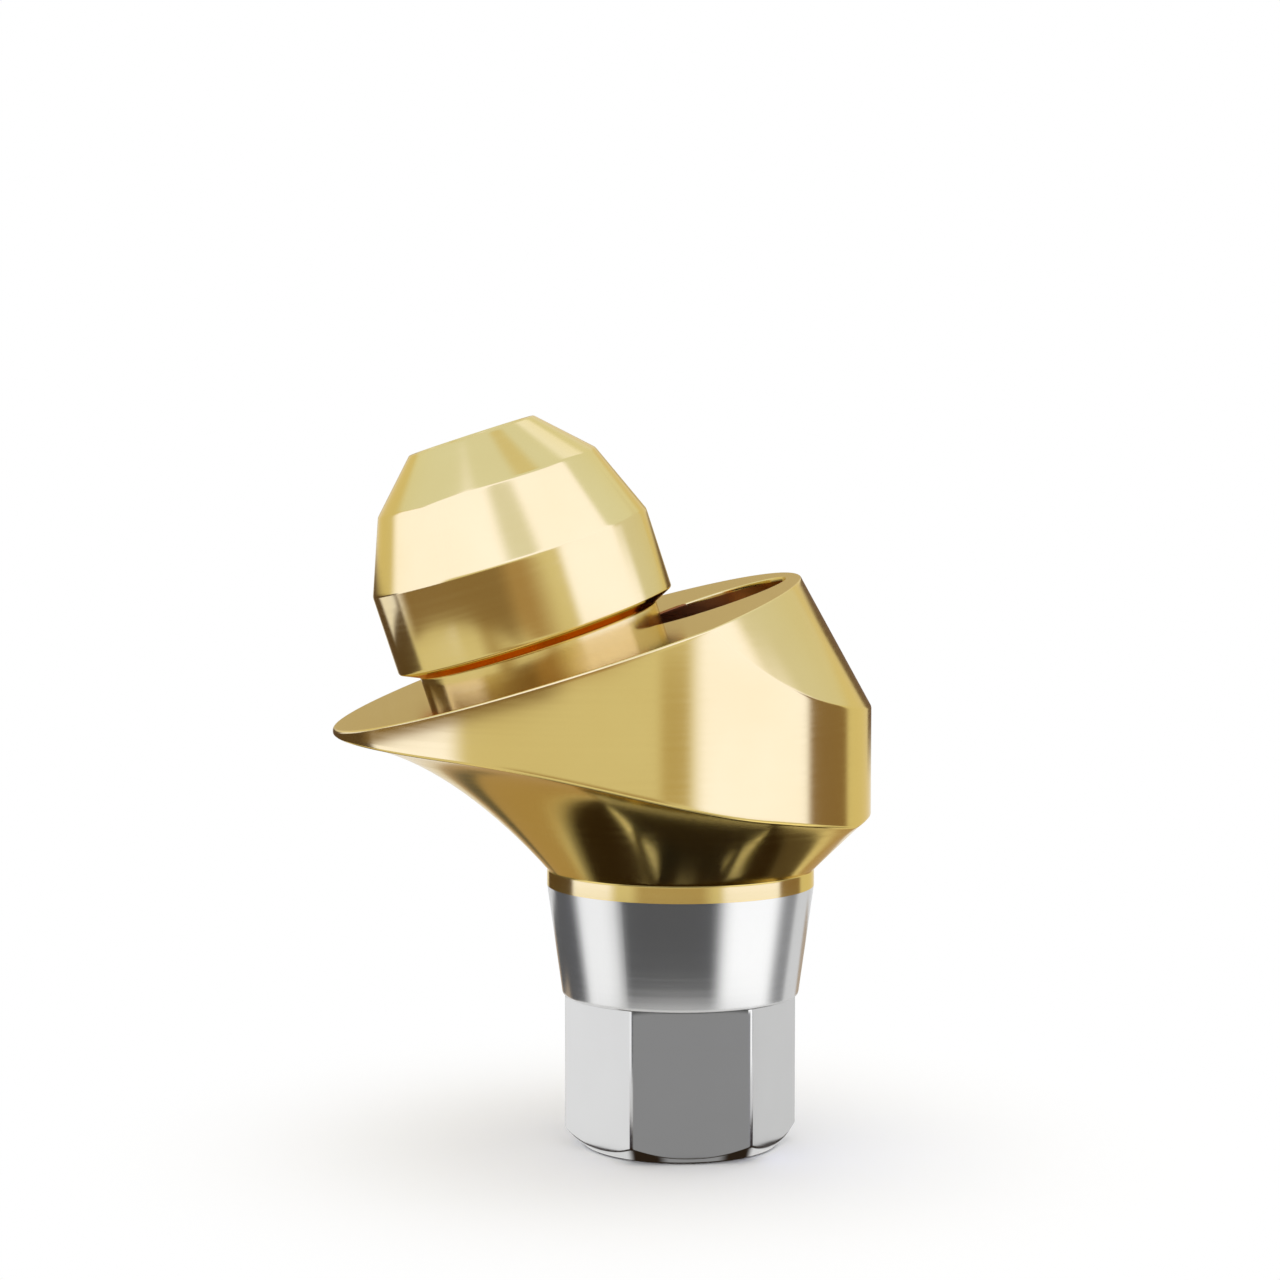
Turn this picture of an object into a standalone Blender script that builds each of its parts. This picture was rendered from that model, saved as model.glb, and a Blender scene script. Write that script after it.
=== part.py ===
# Angled multi-unit dental abutment, machined in one piece from titanium.
#
# The frame: the origin lies on the implant's axis, where the gold band meets the bare cone.
# +Z runs up the implant's axis. The head leans toward -X, and the part is symmetric about Y = 0.
# From the bottom up it has a hexagonal pin, a bare cone that wedges in the implant, a gold band,
# a flared collar with an upright round wall, a tilted seat, and an undercut head on that seat.

import math

import bmesh
import bpy
from mathutils import Matrix, Vector

MM = 0.001

# Facets round the large turned surfaces and round the bores.
BODY_FACETS = 96
BORE_FACETS = 48

# Connection to the implant.
BAND_RADIUS = 1.643 * MM
BAND_HEIGHT = 0.205 * MM
CONE_LENGTH = 1.347 * MM
CONE_HALF_ANGLE = math.radians(8.0)
HEX_SIDES = 6
HEX_ACROSS_FLATS = 2.50 * MM
HEX_CORNER_RADIUS = 1.435 * MM
HEX_LENGTH = 1.88 * MM
HEX_CHAMFER_WIDTH = 0.25 * MM
HEX_CHAMFER_HEIGHT = 0.205 * MM
PIN_ROOT = 0.65 * MM

# Flared collar. Going outward its underside rises by slope * run - sag * run * run, with its own
# slope and sag on the high side (+X), on the two flanks (+Y and -Y) and on the low side (-X).
FLARE_SLOPE_HIGH_SIDE = 1.00
FLARE_SLOPE_FLANK = 0.95
FLARE_SLOPE_LOW_SIDE = 1.13
FLARE_SAG_HIGH_SIDE = 0.0 / MM
FLARE_SAG_FLANK = 0.19 / MM
FLARE_SAG_LOW_SIDE = 0.185 / MM
FLARE_STEPS = 12

# Where the flank's shape gives way to the other two, as a share of the way from +-Y to the end.
FLARE_HIGH_SIDE_START = 0.75
FLARE_HIGH_SIDE_FULL = 1.0
FLARE_LOW_SIDE_START = -0.25
FLARE_LOW_SIDE_FULL = 0.75

# Upright round wall of the collar, parallel to the implant's axis but beside it.
WALL_CENTRE_X = -0.965 * MM
WALL_RADIUS = 3.285 * MM

# Tilted seat that the bridge rests on, and the head that stands on it.
HEAD_TILT = math.radians(18.0)
SEAT_CENTRE_X = -1.676 * MM
SEAT_CENTRE_Z = 2.803 * MM

# Slanted shoulder on the high side: a round surface that leans more than the head does.
SHOULDER_RADIUS = 4.10 * MM
SHOULDER_CENTRE_ACROSS = -0.905 * MM
SHOULDER_LEAN = math.radians(10.9)

NECK_RADIUS = 1.513 * MM
NECK_HEIGHT = 0.247 * MM
UNDERCUT_HEIGHT = 0.11 * MM
BARREL_RADIUS = 1.746 * MM
BARREL_HEIGHT = 0.99 * MM
CONE_TOP_RADIUS = 1.385 * MM
HEAD_CONE_HEIGHT = 0.90 * MM
HEAD_TOP_RADIUS = 0.79 * MM
HEAD_CHAMFER_HEIGHT = 0.596 * MM
HEAD_ROOT_DEPTH = 0.06 * MM

# Channel for the screw that clamps the abutment to the implant.
SHANK_BORE_RADIUS = 0.78 * MM
SCREW_HEAD_BORE_RADIUS = 0.92 * MM
SCREW_SEAT_HEIGHT = -0.30 * MM
SCREW_HEAD_BORE_TOP = 1.90 * MM
MOUTH_CENTRE_X = 0.36 * MM
MOUTH_RADIUS = 0.925 * MM
MOUTH_BOTTOM = 0.90 * MM

# Blind hole in the head for the small screw that holds the bridge.
BRIDGE_SCREW_RADIUS = 0.70 * MM
BRIDGE_SCREW_CORE_RADIUS = 0.56 * MM
BRIDGE_HOLE_DEPTH = 2.20 * MM
DRILL_POINT_ANGLE = math.radians(59.0)
DRILL_TIP_RADIUS = 0.01 * MM

# How far stock and cutters reach past what they shape.
OVERSHOOT = 1.0 * MM
SHARP_EDGE = math.radians(12.0)

COATING = 0
BARE_METAL = 1


def make_material(name, colour, roughness):
    material = bpy.data.materials.new(name)
    material.use_nodes = True
    shader = material.node_tree.nodes["Principled BSDF"]
    shader.inputs["Base Color"].default_value = (*colour, 1.0)
    shader.inputs["Metallic"].default_value = 1.0
    shader.inputs["Roughness"].default_value = roughness
    material.diffuse_color = (*colour, 1.0)
    return material


def make_object(name, mesh_builder, materials):
    mesh = bpy.data.meshes.new(name)
    mesh_builder.normal_update()
    mesh_builder.to_mesh(mesh)
    mesh_builder.free()
    for material in materials:
        mesh.materials.append(material)
    thing = bpy.data.objects.new(name, mesh)
    bpy.context.scene.collection.objects.link(thing)
    return thing


def hide_as_tool(thing):
    thing.hide_render = True
    thing.display_type = "WIRE"


def add_ring(builder, facets, point_at):
    return [builder.verts.new(point_at(2.0 * math.pi * step / facets)) for step in range(facets)]


def skin_rings(builder, lower, upper, material_index):
    count = len(lower)
    for step in range(count):
        following = (step + 1) % count
        face = builder.faces.new((lower[step], lower[following], upper[following], upper[step]))
        face.material_index = material_index


def cap_ring(builder, ring, facing_up, material_index):
    order = ring if facing_up else list(reversed(ring))
    face = builder.faces.new(order)
    face.material_index = material_index


def ringed_solid(ring_shapes, facets, material_of_row):
    """Skin a stack of rings, listed bottom to top. A ring shape gives its point at an angle."""
    builder = bmesh.new()
    rings = [add_ring(builder, facets, point_at) for point_at in ring_shapes]
    for row in range(len(rings) - 1):
        skin_rings(builder, rings[row], rings[row + 1], material_of_row(row))
    cap_ring(builder, rings[0], False, material_of_row(0))
    cap_ring(builder, rings[-1], True, material_of_row(len(rings) - 2))
    return builder


def all_coated(row):
    return COATING


def all_bare(row):
    return BARE_METAL


def circle(radius, height):
    def point_at(angle):
        return Vector((radius * math.cos(angle), radius * math.sin(angle), height))

    return point_at


def ease(value, start, full):
    share = min(max((value - start) / (full - start), 0.0), 1.0)
    return share * share * (3.0 - 2.0 * share)


def flare_height(radius, angle):
    run = radius - BAND_RADIUS
    high_share = ease(math.cos(angle), FLARE_HIGH_SIDE_START, FLARE_HIGH_SIDE_FULL)
    low_share = ease(-math.cos(angle), FLARE_LOW_SIDE_START, FLARE_LOW_SIDE_FULL)
    flank_share = 1.0 - high_share - low_share
    slope = FLARE_SLOPE_FLANK * flank_share
    slope += FLARE_SLOPE_HIGH_SIDE * high_share + FLARE_SLOPE_LOW_SIDE * low_share
    sag = FLARE_SAG_FLANK * flank_share
    sag += FLARE_SAG_HIGH_SIDE * high_share + FLARE_SAG_LOW_SIDE * low_share
    return BAND_HEIGHT + slope * run - sag * run * run


def flare_ring(radius):
    def point_at(angle):
        return Vector((radius * math.cos(angle), radius * math.sin(angle), flare_height(radius, angle)))

    return point_at


def shoulder_ring(depth):
    """Level cut through the leaning shoulder, in the head's frame, this far below the seat."""

    def point_at(angle):
        across = SHOULDER_CENTRE_ACROSS + depth * math.tan(SHOULDER_LEAN)
        across += SHOULDER_RADIUS / math.cos(SHOULDER_LEAN) * math.cos(angle)
        return Vector((across, SHOULDER_RADIUS * math.sin(angle), -depth))

    return point_at


def head_frame():
    """Placement of the head: its Z axis is the leaning axis, its origin the middle of the seat."""
    return Matrix.Translation((SEAT_CENTRE_X, 0.0, SEAT_CENTRE_Z)) @ Matrix.Rotation(-HEAD_TILT, 4, "Y")


def stock_reach():
    return abs(WALL_CENTRE_X) + WALL_RADIUS + OVERSHOOT


def stock_top():
    return SEAT_CENTRE_Z + stock_reach() * math.tan(HEAD_TILT) + OVERSHOOT


def pin_bottom():
    return -CONE_LENGTH - HEX_LENGTH


def make_body_stock(materials):
    """Cone, band and flare, with spare stock above that the wall and the seat are cut from."""
    cone_end_radius = BAND_RADIUS - CONE_LENGTH * math.tan(CONE_HALF_ANGLE)
    shapes = [circle(cone_end_radius, -CONE_LENGTH), circle(BAND_RADIUS, 0.0)]
    shapes.append(circle(BAND_RADIUS, BAND_HEIGHT))
    for step in range(1, FLARE_STEPS + 1):
        shapes.append(flare_ring(BAND_RADIUS + (stock_reach() - BAND_RADIUS) * step / FLARE_STEPS))
    shapes.append(circle(stock_reach(), stock_top()))
    builder = ringed_solid(shapes, BODY_FACETS, lambda row: BARE_METAL if row == 0 else COATING)
    return make_object("abutment_body", builder, materials)


def make_wall_tool(materials):
    """Upright cylinder, turned half a facet so that its edges miss the stock's."""
    shapes = (circle(WALL_RADIUS, pin_bottom() - OVERSHOOT), circle(WALL_RADIUS, stock_top() + OVERSHOOT))
    tool = make_object("wall_tool", ringed_solid(shapes, BODY_FACETS, all_coated), materials)
    tool.rotation_euler.z = math.pi / BODY_FACETS
    tool.location.x = WALL_CENTRE_X
    return tool


def make_shoulder_tool(materials):
    """Its flat top is the seat, and its leaning flank is the shoulder."""
    depth = stock_top() - pin_bottom() + stock_reach()
    shapes = (shoulder_ring(depth), shoulder_ring(0.0))
    tool = make_object("shoulder_tool", ringed_solid(shapes, BODY_FACETS, all_coated), materials)
    tool.matrix_world = head_frame()
    return tool


def make_head(materials):
    """Undercut neck, barrel, cone and chamfer, rooted a little below the seat."""
    undercut_top = NECK_HEIGHT + UNDERCUT_HEIGHT
    barrel_top = undercut_top + BARREL_HEIGHT
    cone_top = barrel_top + HEAD_CONE_HEIGHT
    head_top = cone_top + HEAD_CHAMFER_HEIGHT
    shapes = (
        circle(NECK_RADIUS, -HEAD_ROOT_DEPTH),
        circle(NECK_RADIUS, NECK_HEIGHT),
        circle(BARREL_RADIUS, undercut_top),
        circle(BARREL_RADIUS, barrel_top),
        circle(CONE_TOP_RADIUS, cone_top),
        circle(HEAD_TOP_RADIUS, head_top),
    )
    head = make_object("head_stock", ringed_solid(shapes, BODY_FACETS, all_coated), materials)
    head.matrix_world = head_frame()
    return head, head_top


def make_hex_pin(materials):
    """Round pin with a chamfered end, milled to a hexagon whose corners point along X."""
    shapes = (
        circle(HEX_CORNER_RADIUS - HEX_CHAMFER_WIDTH, pin_bottom()),
        circle(HEX_CORNER_RADIUS, pin_bottom() + HEX_CHAMFER_HEIGHT),
        circle(HEX_CORNER_RADIUS, -CONE_LENGTH + PIN_ROOT),
    )
    pin = make_object("hex_pin", ringed_solid(shapes, BODY_FACETS, all_bare), materials)

    corner = 0.5 * HEX_ACROSS_FLATS / math.cos(math.pi / HEX_SIDES)
    prism_shapes = (circle(corner, pin_bottom() - OVERSHOOT), circle(corner, OVERSHOOT))
    flats = make_object("hex_flats", ringed_solid(prism_shapes, HEX_SIDES, all_bare), materials)
    hide_as_tool(flats)
    add_boolean(pin, flats, "INTERSECT")
    return pin


def make_screw_channel(materials):
    """Stepped bore up the implant's axis: shank, conical seat and screw head."""
    seat_rise = SCREW_HEAD_BORE_RADIUS - SHANK_BORE_RADIUS
    shapes = (
        circle(SHANK_BORE_RADIUS, pin_bottom() - OVERSHOOT),
        circle(SHANK_BORE_RADIUS, SCREW_SEAT_HEIGHT),
        circle(SCREW_HEAD_BORE_RADIUS, SCREW_SEAT_HEIGHT + seat_rise),
        circle(SCREW_HEAD_BORE_RADIUS, SCREW_HEAD_BORE_TOP),
    )
    return make_object("screw_channel", ringed_solid(shapes, BORE_FACETS, all_coated), materials)


def make_channel_mouth(materials):
    """Mouth of the channel on the seat, set toward the high side to clear the neck."""
    shapes = (circle(MOUTH_RADIUS, MOUTH_BOTTOM), circle(MOUTH_RADIUS, stock_top() + OVERSHOOT))
    mouth = make_object("channel_mouth", ringed_solid(shapes, BORE_FACETS, all_coated), materials)
    mouth.location.x = MOUTH_CENTRE_X
    return mouth


def make_bridge_hole(materials, head_top):
    """Blind hole with a drilled point and a countersunk mouth, down the head's axis."""
    floor = head_top - BRIDGE_HOLE_DEPTH
    point = floor - BRIDGE_SCREW_CORE_RADIUS / math.tan(DRILL_POINT_ANGLE)
    countersink = BRIDGE_SCREW_RADIUS - BRIDGE_SCREW_CORE_RADIUS
    shapes = (
        circle(DRILL_TIP_RADIUS, point),
        circle(BRIDGE_SCREW_CORE_RADIUS, floor),
        circle(BRIDGE_SCREW_CORE_RADIUS, head_top - countersink),
        circle(BRIDGE_SCREW_RADIUS + OVERSHOOT, head_top + OVERSHOOT),
    )
    hole = make_object("bridge_screw_hole", ringed_solid(shapes, BORE_FACETS, all_coated), materials)
    hole.matrix_world = head_frame()
    return hole


def add_boolean(target, tool, operation):
    cut = target.modifiers.new(tool.name, "BOOLEAN")
    cut.operation = operation
    cut.solver = "EXACT"
    cut.object = tool
    return cut


def shade(thing):
    thing.data.shade_smooth()
    thing.data.set_sharp_from_angle(angle=SHARP_EDGE)


def build_abutment():
    for thing in list(bpy.data.objects):
        bpy.data.objects.remove(thing, do_unlink=True)

    coating = make_material("titanium_nitride_gold", (0.69, 0.50, 0.20), 0.22)
    bare = make_material("bare_machined_titanium", (0.56, 0.56, 0.55), 0.28)
    materials = (coating, bare)

    body = make_body_stock(materials)
    head, head_top = make_head(materials)
    steps = (
        (make_wall_tool(materials), "INTERSECT"),
        (make_shoulder_tool(materials), "INTERSECT"),
        (make_hex_pin(materials), "UNION"),
        (make_screw_channel(materials), "DIFFERENCE"),
        (make_channel_mouth(materials), "DIFFERENCE"),
        (head, "UNION"),
        (make_bridge_hole(materials, head_top), "DIFFERENCE"),
    )
    for tool, operation in steps:
        hide_as_tool(tool)
        add_boolean(body, tool, operation)
    shade(body)


build_abutment()
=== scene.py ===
import math

import bmesh
import bpy
import numpy as np
from mathutils import Matrix, Vector


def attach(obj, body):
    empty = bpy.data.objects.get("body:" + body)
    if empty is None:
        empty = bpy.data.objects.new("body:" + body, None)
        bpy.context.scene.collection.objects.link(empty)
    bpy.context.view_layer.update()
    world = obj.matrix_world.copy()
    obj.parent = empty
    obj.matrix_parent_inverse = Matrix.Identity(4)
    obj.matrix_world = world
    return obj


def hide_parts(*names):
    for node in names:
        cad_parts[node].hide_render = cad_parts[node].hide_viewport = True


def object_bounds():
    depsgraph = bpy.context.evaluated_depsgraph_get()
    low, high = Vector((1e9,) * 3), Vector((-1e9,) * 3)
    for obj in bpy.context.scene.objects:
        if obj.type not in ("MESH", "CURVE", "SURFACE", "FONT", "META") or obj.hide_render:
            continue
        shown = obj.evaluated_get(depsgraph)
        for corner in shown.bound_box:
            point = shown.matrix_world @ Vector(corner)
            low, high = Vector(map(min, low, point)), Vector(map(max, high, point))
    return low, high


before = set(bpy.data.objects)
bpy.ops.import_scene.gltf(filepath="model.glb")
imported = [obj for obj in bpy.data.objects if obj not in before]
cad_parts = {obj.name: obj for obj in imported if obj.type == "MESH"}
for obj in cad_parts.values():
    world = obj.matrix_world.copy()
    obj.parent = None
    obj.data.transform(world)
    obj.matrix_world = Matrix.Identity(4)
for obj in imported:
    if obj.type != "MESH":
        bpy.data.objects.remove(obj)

# Looks for an angled dental abutment: bare cone and hexagonal pin, gold collar, gold head.
# Sizes are in millimetres in the part's own frame, and become metres when a mesh is made.

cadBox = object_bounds()
mm = 0.001
tau = 2 * math.pi

# Where the middle of the head's foot lies on the seat, and how far seat and head lean, in degrees
seat = dict(x=-1.676, z=2.803, tilt=18.0)
tilt = math.radians(seat["tilt"])


# Helpers

def hexColor(code):
    # sRGB hex to linear
    values = [int(code[i:i + 2], 16) / 255 for i in (1, 3, 5)]
    return (*[v / 12.92 if v <= 0.04045 else ((v + 0.055) / 1.055) ** 2.4 for v in values], 1.0)


def addNode(tree, kind, inputs=None, **settings):
    node = tree.nodes.new(kind)
    for key, value in settings.items():
        setattr(node, key, value)
    for key, value in (inputs or {}).items():
        if isinstance(value, bpy.types.NodeSocket):
            tree.links.new(value, node.inputs[key])
        else:
            node.inputs[key].default_value = value
    return node


def newMaterial(name):
    material = bpy.data.materials.new(name)
    material.use_nodes = True
    material.node_tree.nodes.clear()
    return material, material.node_tree


def ringPoints(x, y, z):
    x, y, z = np.broadcast_arrays(x, y, z)
    return np.stack([x, y, z], axis=-1).astype(float)


def circleRing(angles, radius, z, centreX=0.0):
    return ringPoints(centreX + radius * np.cos(angles), radius * np.sin(angles), z)


edgeRounding = dict(
    steps=4,  # facets across each rounded edge
    support=2.4,  # how far off its two support loops lie, in edge radii
    gapShare=0.46,  # share of a short gap that one edge may take
    shortest=1e-9,  # keeps a gap of nothing from dividing by nothing
)


def towards(ring, other, reach):
    # Steps from one ring to another, by reach, but by less than half of a short gap
    gap = other - ring
    length = np.linalg.norm(gap, axis=1, keepdims=True)
    step = np.minimum(reach, edgeRounding["gapShare"] * length)
    return ring + gap / np.maximum(length, edgeRounding["shortest"]) * step


def roundEdges(path, closed):
    # path lists (ring, edge radius). A radius of 0 keeps the ring, any other gets a rounded edge.
    rings = []
    for index, (ring, radius) in enumerate(path):
        isEnd = not closed and index in (0, len(path) - 1)
        if radius == 0 or isEnd:
            rings.append(ring)
            continue
        before = path[index - 1][0]
        after = path[(index + 1) % len(path)][0]
        start = towards(ring, before, radius)
        end = towards(ring, after, radius)
        rings.append(towards(ring, before, radius * edgeRounding["support"]))
        for share in np.linspace(0, 1, edgeRounding["steps"] + 1):
            curve = (1 - share) ** 2 * start + 2 * share * (1 - share) * ring + share ** 2 * end
            rings.append(curve)
        rings.append(towards(ring, after, radius * edgeRounding["support"]))
    return rings


def makeSkin(name, rings, closed, material, sharpAngle=40, weld=1e-8):
    # Skins the rings in turn. An open stack is capped at both ends, a closed one joins up.
    # Points nearer than weld, in metres, become one.
    columns = len(rings[0])
    points = np.concatenate(rings) * mm
    column = np.arange(columns)
    following = (column + 1) % columns
    pairs = len(rings) if closed else len(rings) - 1
    faces = []
    for row in range(pairs):
        low = row * columns
        high = (row + 1) % len(rings) * columns
        quads = np.stack([low + column, low + following, high + following, high + column], axis=1)
        faces.extend(quads.tolist())
    if not closed:
        faces.append(list(reversed(range(columns))))
        faces.append(list(range((len(rings) - 1) * columns, len(rings) * columns)))
    mesh = bpy.data.meshes.new(name)
    mesh.from_pydata(points.tolist(), [], faces)
    builder = bmesh.new()
    builder.from_mesh(mesh)
    bmesh.ops.remove_doubles(builder, verts=builder.verts, dist=weld)
    bmesh.ops.dissolve_degenerate(builder, edges=builder.edges, dist=weld)
    bmesh.ops.recalc_face_normals(builder, faces=builder.faces)
    builder.to_mesh(mesh)
    builder.free()
    mesh.shade_smooth()
    mesh.set_sharp_from_angle(angle=math.radians(sharpAngle))
    mesh.materials.append(material)
    piece = bpy.data.objects.new(name, mesh)
    bpy.context.scene.collection.objects.link(piece)
    return piece


def placePiece(piece):
    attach(piece, "root")
    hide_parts("abutment_body")
    print("made", piece.name, len(piece.data.polygons), "faces")


# Materials

# Titanium nitride on polished titanium: a hard gold film, close to a mirror, with pale highlights
goldCoat = dict(
    color="#D4BF78", deepColor="#CCB369", edgeColor="#F4E6C0",
    roughness=0.13, blotch=1.6, turning=0.06, depth=0.0002,
)

# The same film down the screw channel, darkened to brown and dulled as painted shade for its depth
paintedChannelShade = dict(
    color="#8C5A2E", deepColor="#764822", edgeColor="#C09058",
    roughness=0.28, blotch=1.0, turning=0.08, depth=0.0004,
)

# The same film on the narrow face under the barrel, deepened nearly to orange as painted shade and a
# painted reflection of the gold faces round it
paintedUndercutShade = dict(
    color="#C97A2C", deepColor="#BC6C22", edgeColor="#E8B070",
    roughness=0.18, blotch=1.0, turning=0.06, depth=0.0002,
)

# Bare turned titanium: neutral grey, with a little more spread in its highlights
bareTitanium = dict(
    color="#CFCFCE", deepColor="#C6C6C5", edgeColor="#F0F0F0",
    roughness=0.17, blotch=1.2, turning=0.05, depth=0.0003,
)

# What is the same on each metal: how far the tool's marks move its roughness, and how much they show
turningMarks = dict(
    smoother=0.01, rougher=0.02, strength=0.05,
    troughs=0.3, ridges=0.7, blotchDetail=3.0, markDetail=4.0,
)


def makeTurnedMetal(name, look, lean=0.0):
    # blotch is the size of its uneven tint, turning the spacing of the rings left by the tool, drawn far
    # coarser than real ones to show at all. lean tips the rings to the axis that the piece turned about.
    marks = turningMarks
    material, tree = newMaterial(name)
    body = addNode(tree, "ShaderNodeTexCoord")
    place = addNode(tree, "ShaderNodeVectorRotate", {
        "Vector": body.outputs["Object"], "Axis": (0, 1, 0), "Angle": lean})
    blotches = addNode(tree, "ShaderNodeTexNoise", {
        "Vector": place.outputs["Vector"], "Scale": 1 / (look["blotch"] * mm),
        "Detail": marks["blotchDetail"]})
    tint = addNode(tree, "ShaderNodeMix", {
        "Factor": blotches.outputs["Fac"], "A": hexColor(look["color"]),
        "B": hexColor(look["deepColor"])}, data_type="RGBA")
    along = addNode(tree, "ShaderNodeSeparateXYZ", {"Vector": place.outputs["Vector"]})
    turning = addNode(tree, "ShaderNodeTexNoise", {
        "W": along.outputs["Z"], "Scale": 1 / (look["turning"] * mm),
        "Detail": marks["markDetail"]}, noise_dimensions="1D")
    gloss = addNode(tree, "ShaderNodeMapRange", {
        "Value": turning.outputs["Fac"], "From Min": marks["troughs"], "From Max": marks["ridges"],
        "To Min": look["roughness"] - marks["smoother"],
        "To Max": look["roughness"] + marks["rougher"]})
    relief = addNode(tree, "ShaderNodeBump", {
        "Height": turning.outputs["Fac"], "Strength": marks["strength"],
        "Distance": look["depth"] * mm})
    metal = addNode(tree, "ShaderNodeBsdfPrincipled", {
        "Base Color": tint.outputs["Result"], "Metallic": 1.0,
        "Specular Tint": hexColor(look["edgeColor"]),
        "Roughness": gloss.outputs["Result"], "Normal": relief.outputs["Normal"]})
    addNode(tree, "ShaderNodeOutputMaterial", {"Surface": metal.outputs["BSDF"]})
    return material


nitrideOnCollar = makeTurnedMetal("titaniumNitrideOnCollar", goldCoat)
nitrideOnHead = makeTurnedMetal("titaniumNitrideOnHead", goldCoat, tilt)
# The undercut's metal carries orange painted shade and a painted reflection of the gold round it
nitrideWithUndercutShade = makeTurnedMetal("titaniumNitrideWithPaintedUndercutShade", paintedUndercutShade, tilt)
# The channel's metal carries brown painted shade
nitrideWithChannelShade = makeTurnedMetal("titaniumNitrideWithPaintedChannelShade", paintedChannelShade)
turnedTitanium = makeTurnedMetal("turnedTitanium", bareTitanium)
print("made the metals")


# Cone and hexagonal pin

pin = dict(
    coneRadius=1.643, coneLength=1.347, coneAngle=8.0,  # wedges in the implant
    acrossFlats=2.50, cornerRadius=1.427, hexLength=1.88,  # hexagon with turned-off corners
    chamferWidth=0.25, chamferHeight=0.205,  # round its end
    shankBore=0.78, headBore=0.92, screwSeat=-0.30,  # radii and step of the screw channel
    flatColumns=24, supportTurn=0.5, edge=0.02, sharpAngle=35,
)


def makePin():
    p = pin
    side = tau / 6
    flat = p["acrossFlats"] / 2
    stripHalf = side / 2 - math.acos(flat / p["cornerRadius"])  # half of what is turned off a corner
    support = math.radians(p["supportTurn"])
    angles = []
    for corner in np.arange(6) * tau / 6:
        angles += [corner - stripHalf - support, corner - stripHalf, corner, corner + stripHalf]
        first = corner + stripHalf + support
        last = corner + side - stripHalf - support
        angles += list(np.linspace(first, last, p["flatColumns"], endpoint=False))
    angles = np.array(angles)
    fromFlat = (angles % side) - side / 2
    hexRadius = np.minimum(flat / np.cos(fromFlat), p["cornerRadius"])
    coneEnd = p["coneRadius"] - p["coneLength"] * math.tan(math.radians(p["coneAngle"]))
    bottom = -p["coneLength"] - p["hexLength"]
    endRadius = p["cornerRadius"] - p["chamferWidth"]
    chamferTop = bottom + (hexRadius - endRadius) * p["chamferHeight"] / p["chamferWidth"]
    seatRise = p["headBore"] - p["shankBore"]
    path = [
        (circleRing(angles, p["headBore"], 0.0), 0),
        (circleRing(angles, p["coneRadius"], 0.0), 0),
        (circleRing(angles, coneEnd, -p["coneLength"]), p["edge"]),
        (circleRing(angles, hexRadius, -p["coneLength"]), 0),
        (circleRing(angles, hexRadius, chamferTop), p["edge"]),
        (circleRing(angles, endRadius, bottom), p["edge"]),
        (circleRing(angles, p["shankBore"], bottom), p["edge"]),
        (circleRing(angles, p["shankBore"], p["screwSeat"]), 0),
        (circleRing(angles, p["headBore"], p["screwSeat"] + seatRise), 0),
    ]
    return makeSkin("coneAndHexPin", roundEdges(path, True), True, turnedTitanium, p["sharpAngle"])


placePiece(makePin())


# Collar with its flare, wall, shoulder, seat and the mouth of the screw channel

collar = dict(
    bandRadius=pin["coneRadius"], bandHeight=0.205, bandEdge=0.01,  # narrow band over the cone
    slopeHigh=1.00, slopeFlank=0.95, slopeLow=1.13, sagFlank=0.19, sagLow=0.185,  # flare's profiles
    highStart=0.75, highFull=1.0, lowStart=-0.25, lowFull=0.75,  # where they blend, as cosines
    wallX=-0.965, wallRadius=3.285,  # upright wall, round an axis of its own
    shoulderRadius=4.10, shoulderAcross=-0.905, shoulderLean=10.9,  # slanted cut on the high side
    headBore=pin["headBore"], boreTop=1.90,  # screw channel inside
    mouthX=0.36, mouthRadius=0.925, mouthBottom=0.90,  # and where it opens in the seat
    columns=640, flareRings=26, rim=0.02, wallEdge=0.03, rimChamfer=0.016,
    paintedShadeFrom=0.06,  # depth below the seat at which the painted shade of the channel starts
    margin=0.001,  # added to a radius when a face is tested against it
)


def ease(value, start, full):
    share = np.clip((value - start) / (full - start), 0, 1)
    return share * share * (3 - 2 * share)


def flareHeight(radius, angle):
    # Three profiles, for the high side, the flanks and the low side, blended round the axis
    c = collar
    run = radius - c["bandRadius"]
    high = ease(np.cos(angle), c["highStart"], c["highFull"])
    low = ease(-np.cos(angle), c["lowStart"], c["lowFull"])
    flank = 1 - high - low
    slope = c["slopeHigh"] * high + c["slopeFlank"] * flank + c["slopeLow"] * low
    sag = c["sagFlank"] * flank + c["sagLow"] * low
    return c["bandHeight"] + slope * run - sag * run * run


def seatHeight(x):
    return seat["z"] + (x - seat["x"]) * math.tan(tilt)


def acrossSeat(x, z):
    return (x - seat["x"]) * math.cos(tilt) + (z - seat["z"]) * math.sin(tilt)


def onSeat(across, y):
    return ringPoints(seat["x"] + across * math.cos(tilt), y, seat["z"] + across * math.sin(tilt))


def unionRadius(directions, offsets, radii):
    # Outline of two overlapping circles, seen from a point between their centres
    reach = []
    for offset, radius in zip(offsets, radii):
        across = np.cos(directions) * offset
        reach.append(across + np.sqrt(across ** 2 - offset ** 2 + radius ** 2))
    return np.maximum(*reach)


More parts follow.
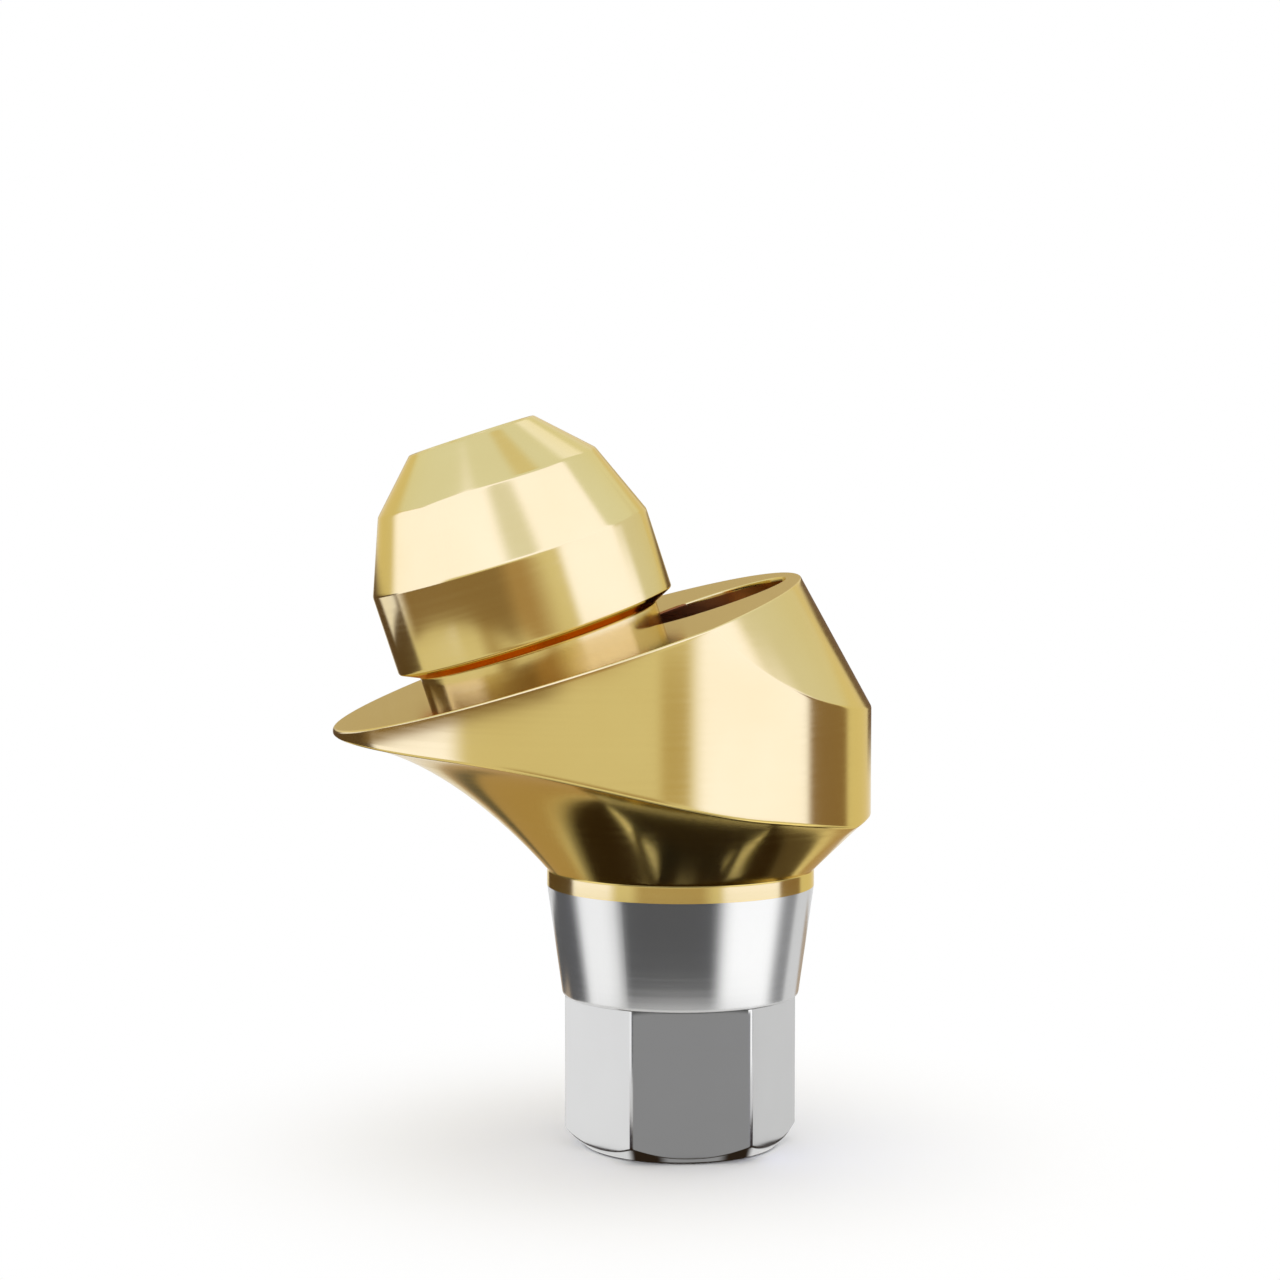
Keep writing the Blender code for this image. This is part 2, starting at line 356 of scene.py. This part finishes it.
def makeCollar():
    c = collar
    turn = np.arange(c["columns"]) * tau / c["columns"]
    wallX = c["wallX"] + c["wallRadius"] * np.cos(turn)
    wallY = c["wallRadius"] * np.sin(turn)
    angle = np.arctan2(wallY, wallX)
    reach = np.hypot(wallX, wallY)

    # Where the upright wall meets the slanted shoulder, or else the seat
    shoulderLean = math.radians(c["shoulderLean"])
    lean = math.tan(shoulderLean)
    breadth = np.sqrt(c["shoulderRadius"] ** 2 - wallY ** 2) / math.cos(shoulderLean)
    shoulderAcross = breadth + c["shoulderAcross"]
    room = shoulderAcross - (wallX - seat["x"]) * (math.cos(tilt) - math.sin(tilt) * lean)
    shoulderZ = seat["z"] + room / (math.sin(tilt) + math.cos(tilt) * lean)
    seatZ = seatHeight(wallX)
    wallTop = np.minimum(shoulderZ, seatZ - c["rimChamfer"])

    # The seat's rim: up the shoulder's slant, or a hair's breadth inside the wall
    insideX = wallX - c["rimChamfer"] * np.cos(turn)
    insideY = wallY - c["rimChamfer"] * np.sin(turn)
    insideAcross = acrossSeat(insideX, seatHeight(insideX))
    slanted = (shoulderZ < seatZ) & (shoulderAcross < insideAcross)
    rimAcross = np.where(slanted, shoulderAcross, insideAcross)
    rimY = np.where(slanted, wallY, insideY)

    # The mouth, and the outline that it makes where it runs into the channel
    mouthAcross = acrossSeat(c["mouthX"], seatHeight(c["mouthX"]))
    around = np.arctan2(rimY, rimAcross - mouthAcross)
    mouthCircleX = c["mouthX"] + c["mouthRadius"] * np.cos(around)
    mouthCircleY = c["mouthRadius"] * np.sin(around)
    middle = c["mouthX"] / 2
    both = unionRadius(around, (-middle, middle), (c["headBore"], c["mouthRadius"]))

    path = [
        (circleRing(around, c["headBore"], 0.0), 0),
        (circleRing(angle, c["bandRadius"], 0.0), 0),
        (circleRing(angle, c["bandRadius"], c["bandHeight"]), c["bandEdge"]),
    ]
    for share in np.linspace(0, 1, c["flareRings"])[1:-1]:
        radius = c["bandRadius"] + (reach - c["bandRadius"]) * share
        path.append((circleRing(angle, radius, flareHeight(radius, angle)), 0))
    path += [
        (ringPoints(wallX, wallY, flareHeight(reach, angle)), c["wallEdge"]),
        (ringPoints(wallX, wallY, wallTop), c["rim"]),
        (onSeat(rimAcross, rimY), c["rim"]),
        (ringPoints(mouthCircleX, mouthCircleY, seatHeight(mouthCircleX)), c["rim"]),
        (ringPoints(mouthCircleX, mouthCircleY, c["boreTop"]), 0),
        (circleRing(around, both, c["boreTop"], middle), 0),
        (circleRing(around, both, c["mouthBottom"], middle), 0),
        (circleRing(around, c["headBore"], c["mouthBottom"]), 0),
    ]
    piece = makeSkin("collarWithSeat", roundEdges(path, True), True, nitrideOnCollar)
    piece.data.materials.append(nitrideWithChannelShade)
    # Faces deep in the mouth and in the bore take the brown painted shade of the channel
    for face in piece.data.polygons:
        x, y, z = face.center / mm
        isInMouth = math.hypot(x - c["mouthX"], y) < c["mouthRadius"] + c["margin"]
        isDeep = z < seatHeight(x) - c["paintedShadeFrom"]
        isInBore = math.hypot(x, y) < c["headBore"] + c["margin"]
        face.material_index = int((isInMouth and isDeep) or isInBore)
    return piece


placePiece(makeCollar())


# Head: undercut neck, barrel, cone and chamfer, with a threaded hole for the bridge's screw

head = dict(
    neckRadius=1.513, neckHeight=0.247, undercut=0.11, root=0.06,  # root is sunk in the seat
    barrelRadius=1.746, barrelHeight=0.99,
    coneTopRadius=1.385, coneHeight=0.90,
    topRadius=0.79, chamferHeight=0.596,
    screwRadius=0.70, coreRadius=0.56, pitch=0.30,  # thread, outside and inside its turns
    leadOut=0.4, leadStart=0.2,  # how it runs out at the top, in pitches and as a share
    holeDepth=2.20, drillAngle=59.0, pointRadius=0.01,  # drilled hole and its pointed end
    columns=256, ringsPerPitch=16, edge=0.022, neckEdge=0.012,
)


def threadRing(angles, z, floor, top):
    # One ring of the screw thread, which fades out at both ends of the hole
    h = head
    crest = 0.5 + 0.5 * np.cos(z / h["pitch"] * tau - angles)
    atTop = min(1, (top - z) / (h["leadOut"] * h["pitch"]) + h["leadStart"])
    fade = max(min(1, (z - floor) / h["pitch"]) * atTop, 0)
    return circleRing(angles, h["coreRadius"] + (h["screwRadius"] - h["coreRadius"]) * crest * fade, z)


def makeHead():
    h = head
    angles = np.arange(h["columns"]) * tau / h["columns"]
    undercutTop = h["neckHeight"] + h["undercut"]
    barrelTop = undercutTop + h["barrelHeight"]
    coneTop = barrelTop + h["coneHeight"]
    headTop = coneTop + h["chamferHeight"]
    floor = headTop - h["holeDepth"]
    countersink = h["screwRadius"] - h["coreRadius"]
    point = floor - h["coreRadius"] / math.tan(math.radians(h["drillAngle"]))
    threadTop = headTop - countersink
    path = [
        (circleRing(angles, h["neckRadius"], -h["root"]), 0),
        (circleRing(angles, h["neckRadius"], h["neckHeight"]), h["neckEdge"]),
        (circleRing(angles, h["barrelRadius"], undercutTop), h["edge"]),
        (circleRing(angles, h["barrelRadius"], barrelTop), h["edge"]),
        (circleRing(angles, h["coneTopRadius"], coneTop), h["edge"]),
        (circleRing(angles, h["topRadius"], headTop), h["edge"]),
        (circleRing(angles, h["screwRadius"], headTop), h["neckEdge"]),
    ]
    for z in np.arange(threadTop, floor, -h["pitch"] / h["ringsPerPitch"]):
        path.append((threadRing(angles, z, floor, threadTop), 0))
    path.append((circleRing(angles, h["coreRadius"], floor), 0))
    path.append((circleRing(angles, h["pointRadius"], point), 0))
    piece = makeSkin("undercutHead", roundEdges(path, False), False, nitrideOnHead)
    piece.data.materials.append(nitrideWithUndercutShade)
    # The narrow face under the barrel takes the orange painted shade and painted reflection
    for face in piece.data.polygons:
        x, y, z = face.center / mm
        isOutside = math.hypot(x, y) > h["neckRadius"] - h["edge"]
        isUnder = h["neckHeight"] < z < undercutTop - h["edge"]
        face.material_index = int(isOutside and isUnder)
    foot = Matrix.Translation((seat["x"] * mm, 0, seat["z"] * mm))
    piece.data.transform(foot @ Matrix.Rotation(-tilt, 4, "Y"))
    return piece


placePiece(makeHead())


# Stage: floor, world, and soft lights and cards that show only as reflections in the metal

stage = dict(
    floorRadius=900.0, floorColor="#FBFBFA", floorSides=96,
    fadeFrom=2.0, fadeTo=8.0,  # where the floor turns from paper that takes a shadow to plain white
    worldLevel=1.10,  # light from all round on the object, where 1 is white
    distance=18.0, layerGap=0.5,  # nearest panel, and how much further off the next one is
    floorLift=0.01,  # how much higher each card on the floor lies than the last
)

# Panels stand by compass angle from the camera, right being positive, and by height, both in degrees.
# One hides those after it. The bright ones are cool, which turns gold highlights to cream.
coolLight = dict(level=3.8, color="#AFB8FF")
panels = [
    dict(name="leftCard", level=0.14, color="#FFDBC4", sides=(-158, -100), heights=(-32, 3), soft=(5, 3)),
    dict(name="rightCard", level=0.36, color="#FFDCBE", sides=(87, 121), heights=(-32, 9), soft=(5, 4)),
    dict(name="rearCard", level=0.20, color="#FFDCC8", sides=(146, 170), heights=(-12, 10), soft=(4, 4)),
    dict(name="backCard", level=0.62, color="#FFEFBE", sides=(164, 206), heights=(-10, 18), soft=(6, 6)),
    dict(name="bandCard", level=0.58, color="#FFE8C8", sides=(-44, 30), heights=(-32, -11), soft=(14, 3)),
    dict(name="stripeCard", level=0.72, color="#FFF0D0", sides=(19, 35), heights=(-14, -2), soft=(5, 3)),
    dict(coolLight, name="leftSoftbox", sides=(-116, -52), heights=(-32, 26), soft=(12, 8)),
    dict(coolLight, name="rightSoftbox", sides=(31, 108), heights=(-32, 22), soft=(9, 8)),
    dict(name="headTintCard", level=1.9, color="#C8D2FF", sides=(-24, 14), heights=(28, 52), soft=(12, 8)),
    dict(coolLight, name="frontSoftbox", sides=(-82, 98), heights=(10, 64), soft=(8, 8)),
    dict(name="rearRightSoftbox", level=1.5, color="#D6DEFF",
         sides=(92, 146), heights=(8, 34), soft=(6, 4)),
    dict(name="rearTopSoftbox", level=2.9, color="#B8C3FF",
         sides=(140, 172), heights=(40, 68), soft=(6, 8)),
    dict(name="topSoftbox", level=1.75, color="#CEDAFF",
         sides=(-180, 180), heights=(22, 86), soft=(0.1, 6)),
]

# Ring cards stand upright round the pin, by compass angle, and by distance and height in millimetres.
# rise is how much higher a card stands for each degree round, and later is the share of its level
# that is left in a second reflection.
hexCard = dict(heights=(-0.1, 1.86), later=0.05)
coneCard = dict(heights=(0.3, 2.7))
tanCard = dict(color="#FFDEBC", rise=0.012)
ringCards = [
    dict(hexCard, name="hexLeftCard", level=1.15, sides=(-97, -33), reach=1.52, soft=(4, 0.06)),
    dict(hexCard, name="hexRightCard", level=0.92, sides=(56, 108), reach=1.52, soft=(4, 0.06)),
    dict(hexCard, name="hexBackCard", level=0.75, sides=(106, 265), reach=1.52, soft=(4, 0.06)),
    dict(hexCard, name="hexFrontCard", level=0.38, sides=(-26, 38), reach=1.50, soft=(2, 0.06)),
    dict(coneCard, name="coneLeftCard", level=1.42, later=0.05,
         sides=(-98, -42), reach=4.50, soft=(22, 0.2)),
    dict(coneCard, name="coneFrontCard", level=0.13, sides=(-54, 38), reach=4.60, soft=(12, 0.2)),
    dict(coneCard, name="coneRightCard", level=1.60, later=0.05,
         sides=(21, 92), reach=4.50, soft=(22, 0.2)),
    dict(coneCard, name="coneEdgeCard", level=0.40, sides=(76, 108), reach=4.70, soft=(8, 0.2)),
    dict(coneCard, name="coneGreyCard", level=0.15, sides=(-124, -84), reach=4.70, soft=(6, 0.2)),
    dict(name="barrelStripe", level=3.0, color="#AFB8FF", rise=0.012,
         sides=(-116, -90), reach=7.0, heights=(6.35, 7.6), soft=(6, 0.15)),
    dict(tanCard, name="barrelCard", level=0.36,
         sides=(-94, -14), reach=7.1, heights=(5.7, 7.5), soft=(12, 0.15)),
    dict(tanCard, name="barrelFade", level=0.56,
         sides=(-54, 14), reach=7.2, heights=(5.85, 7.6), soft=(24, 0.15)),
]

# Floor cards lie round the part, by the same compass angle and by distance in millimetres
floorCards = [
    dict(name="underCard", level=0.035, color="#FFCFA0",
         sides=(-180, 180), reach=(0.0, 3.9), soft=(0.1, 1.0)),
    dict(name="footGlow", level=1.05, sides=(40, 333), reach=(0.5, 1.36), soft=(6, 0.04)),
    dict(name="footGlowFront", level=0.40, sides=(-14, 28), reach=(0.5, 1.36), soft=(8, 0.04)),
    dict(name="leftTanCard", level=0.58, color="#FFE6C8",
         sides=(-178, -108), reach=(2.9, 14.0), soft=(6, 1.4)),
    dict(name="leftDarkCard", level=0.15, sides=(-156, -121), reach=(7.4, 14.0), soft=(5, 1.0)),
    dict(name="rightDarkCard", level=0.12, color="#FFE8D8",
         sides=(98, 138), reach=(2.6, 5.2), soft=(6, 0.6)),
    dict(name="rightTanCard", level=0.60, color="#FFE6C8",
         sides=(139, 168), reach=(4.8, 14.0), soft=(5, 0.6)),
]

# The camera looks down by pitch and is turned by yaw, both in degrees, towards aim
camera = dict(
    lens=85.0, sensor=36.0, distance=37.03, pitch=4.12, yaw=5.5, aim=(-0.4987, 0.0, 3.0024),
    nearest=1.0, furthest=10000.0,
)

yaw = math.radians(camera["yaw"])
aimPoint = Matrix.Rotation(-yaw, 4, "Z") @ (Vector(camera["aim"]) * mm)


def makeFloor():
    # Paper near the part, which takes its shadow, and plain white further off where it is seen
    material, tree = newMaterial("paleStudioFloor")
    place = addNode(tree, "ShaderNodeTexCoord")
    far = addNode(tree, "ShaderNodeVectorMath", {0: place.outputs["Object"]}, operation="LENGTH")
    fade = addNode(tree, "ShaderNodeMapRange", {
        "Value": far.outputs["Value"],
        "From Min": stage["fadeFrom"] * mm, "From Max": stage["fadeTo"] * mm},
        interpolation_type="SMOOTHSTEP")
    seen = addSeenFactor(tree)
    share = addNode(tree, "ShaderNodeMath", {
        0: fade.outputs["Result"], 1: seen}, operation="MULTIPLY")
    paper = addNode(tree, "ShaderNodeBsdfDiffuse", {"Color": hexColor(stage["floorColor"])})
    white = addNode(tree, "ShaderNodeEmission", {"Color": hexColor("#FFFFFF"), "Strength": 1.0})
    mixed = addNode(tree, "ShaderNodeMixShader", {
        0: share.outputs["Value"], 1: paper.outputs["BSDF"], 2: white.outputs["Emission"]})
    addNode(tree, "ShaderNodeOutputMaterial", {"Surface": mixed.outputs["Shader"]})
    mesh = bpy.data.meshes.new("studioFloor")
    builder = bmesh.new()
    bmesh.ops.create_circle(
        builder, cap_ends=True, radius=stage["floorRadius"] * mm, segments=stage["floorSides"])
    builder.to_mesh(mesh)
    builder.free()
    mesh.materials.append(material)
    floor = bpy.data.objects.new("studioFloor", mesh)
    floor.location.z = cadBox[0].z
    bpy.context.scene.collection.objects.link(floor)


def addSeenFactor(tree):
    # 1 for what the camera sees, directly, in a reflection or through glass
    path = addNode(tree, "ShaderNodeLightPath")
    direct = addNode(tree, "ShaderNodeMath", {
        0: path.outputs["Is Camera Ray"], 1: path.outputs["Is Glossy Ray"]}, operation="MAXIMUM")
    either = addNode(tree, "ShaderNodeMath", {
        0: direct.outputs["Value"], 1: path.outputs["Is Transmission Ray"]}, operation="MAXIMUM")
    return either.outputs["Value"]


def makeCardMaterial(look, fades):
    # A card glows on one side and is clear from behind. Its edges fade, for soft ends in a reflection.
    material, tree = newMaterial(look["name"])
    place = addNode(tree, "ShaderNodeUVMap", uv_map="UVMap")
    sides = addNode(tree, "ShaderNodeSeparateXYZ", {"Vector": place.outputs["UV"]})
    shares = []
    for axis, fade in zip(("X", "Y"), fades):
        offset = addNode(tree, "ShaderNodeMath", {
            0: sides.outputs[axis], 1: 0.5}, operation="SUBTRACT")
        fromMiddle = addNode(tree, "ShaderNodeMath", {
            0: offset.outputs["Value"]}, operation="ABSOLUTE")
        edge = addNode(tree, "ShaderNodeMapRange", {
            "Value": fromMiddle.outputs["Value"], "From Min": 0.5 - fade, "From Max": 0.5,
            "To Min": 1.0, "To Max": 0.0}, interpolation_type="SMOOTHSTEP")
        shares.append(edge.outputs["Result"])
    whole = addNode(tree, "ShaderNodeMath", {0: shares[0], 1: shares[1]}, operation="MULTIPLY")
    surface = addNode(tree, "ShaderNodeNewGeometry")
    share = addNode(tree, "ShaderNodeMath", {
        0: whole.outputs["Value"], 1: surface.outputs["Backfacing"]}, operation="MULTIPLY")
    light = addNode(tree, "ShaderNodeLightPath")
    strength = addNode(tree, "ShaderNodeMapRange", {
        "Value": light.outputs["Glossy Depth"], "From Min": 1.0, "From Max": 2.0,
        "To Min": look["level"], "To Max": look["level"] * look.get("later", 1.0)})
    clear = addNode(tree, "ShaderNodeBsdfTransparent")
    glow = addNode(tree, "ShaderNodeEmission", {
        "Color": hexColor(look.get("color", "#FFFFFF")), "Strength": strength.outputs["Result"]})
    mixed = addNode(tree, "ShaderNodeMixShader", {
        0: share.outputs["Value"], 1: clear.outputs["BSDF"], 2: glow.outputs["Emission"]})
    addNode(tree, "ShaderNodeOutputMaterial", {"Surface": mixed.outputs["Shader"]})
    return material


def makeCard(look, ends, pointAt, location, columns=48, rows=12):
    # pointAt gives a point of the card in millimetres from where it lies between the two pairs of ends
    (firstLow, firstHigh), (secondLow, secondHigh) = ends
    points, faces, places = [], [], []
    for row in range(rows + 1):
        for col in range(columns + 1):
            across, up = col / columns, row / rows
            first = firstLow + (firstHigh - firstLow) * across
            second = secondLow + (secondHigh - secondLow) * up
            places.append((across, up))
            points.append(pointAt(first, second) * mm)
    for row in range(rows):
        for col in range(columns):
            corner = row * (columns + 1) + col
            faces.append((corner, corner + 1, corner + columns + 2, corner + columns + 1))
    mesh = bpy.data.meshes.new(look["name"])
    mesh.from_pydata(points, [], faces)
    layer = mesh.uv_layers.new(name="UVMap")
    for loop in mesh.loops:
        layer.data[loop.index].uv = places[loop.vertex_index]
    fades = [soft / (high - low) for soft, (low, high) in zip(look["soft"], ends)]
    mesh.materials.append(makeCardMaterial(look, fades))
    card = bpy.data.objects.new(look["name"], mesh)
    card.location = location
    card.rotation_euler.z = -yaw
    card.visible_camera = False
    card.visible_diffuse = False
    card.visible_shadow = False
    bpy.context.scene.collection.objects.link(card)


def onCompass(side, reach, height):
    side = math.radians(side)
    return Vector((math.sin(side) * reach, -math.cos(side) * reach, height))


def makePanel(look, layer):
    reach = stage["distance"] + stage["layerGap"] * layer

    def pointAt(side, height):
        height = math.radians(height)
        return onCompass(side, math.cos(height) * reach, math.sin(height) * reach)

    makeCard(look, (look["sides"], look["heights"]), pointAt, aimPoint)


def makeRingCard(look):
    def pointAt(side, height):
        return onCompass(side, look["reach"], height + look.get("rise", 0) * side)

    makeCard(look, (look["sides"], look["heights"]), pointAt, Vector((0, 0, cadBox[0].z)))


def makeFloorCard(look, layer):
    def pointAt(side, reach):
        return onCompass(side, reach, stage["floorLift"] * layer)

    makeCard(look, (look["sides"], look["reach"]), pointAt, Vector((0, 0, cadBox[0].z)))


def makeWorld():
    world = bpy.data.worlds.new("softStudio")
    bpy.context.scene.world = world
    world.use_nodes = True
    tree = world.node_tree
    tree.nodes.clear()
    seen = addSeenFactor(tree)
    level = addNode(tree, "ShaderNodeMapRange", {
        "Value": seen, "To Min": stage["worldLevel"], "To Max": 1.0})
    sky = addNode(tree, "ShaderNodeBackground", {
        "Color": hexColor("#FFFFFF"), "Strength": level.outputs["Result"]})
    addNode(tree, "ShaderNodeOutputWorld", {"Surface": sky.outputs["Background"]})


def makeCamera():
    data = bpy.data.cameras.new("camera")
    data.lens = camera["lens"]
    data.sensor_width = camera["sensor"]
    data.clip_start = camera["nearest"] * mm
    data.clip_end = camera["furthest"] * mm
    eye = bpy.data.objects.new("camera", data)
    pitch = math.radians(camera["pitch"])
    eye.rotation_euler = (math.pi / 2 - pitch, 0, -yaw)
    back = Vector((0, -math.cos(pitch), math.sin(pitch))) * camera["distance"] * mm
    eye.location = aimPoint + Matrix.Rotation(-yaw, 4, "Z") @ back
    bpy.context.scene.collection.objects.link(eye)
    bpy.context.scene.camera = eye


makeFloor()
for layer, look in enumerate(panels):
    makePanel(look, layer)
for look in ringCards:
    makeRingCard(look)
for layer, look in enumerate(floorCards):
    makeFloorCard(look, layer + 1)
makeWorld()
makeCamera()
bpy.context.scene.view_settings.view_transform = "Standard"
print("made the stage")
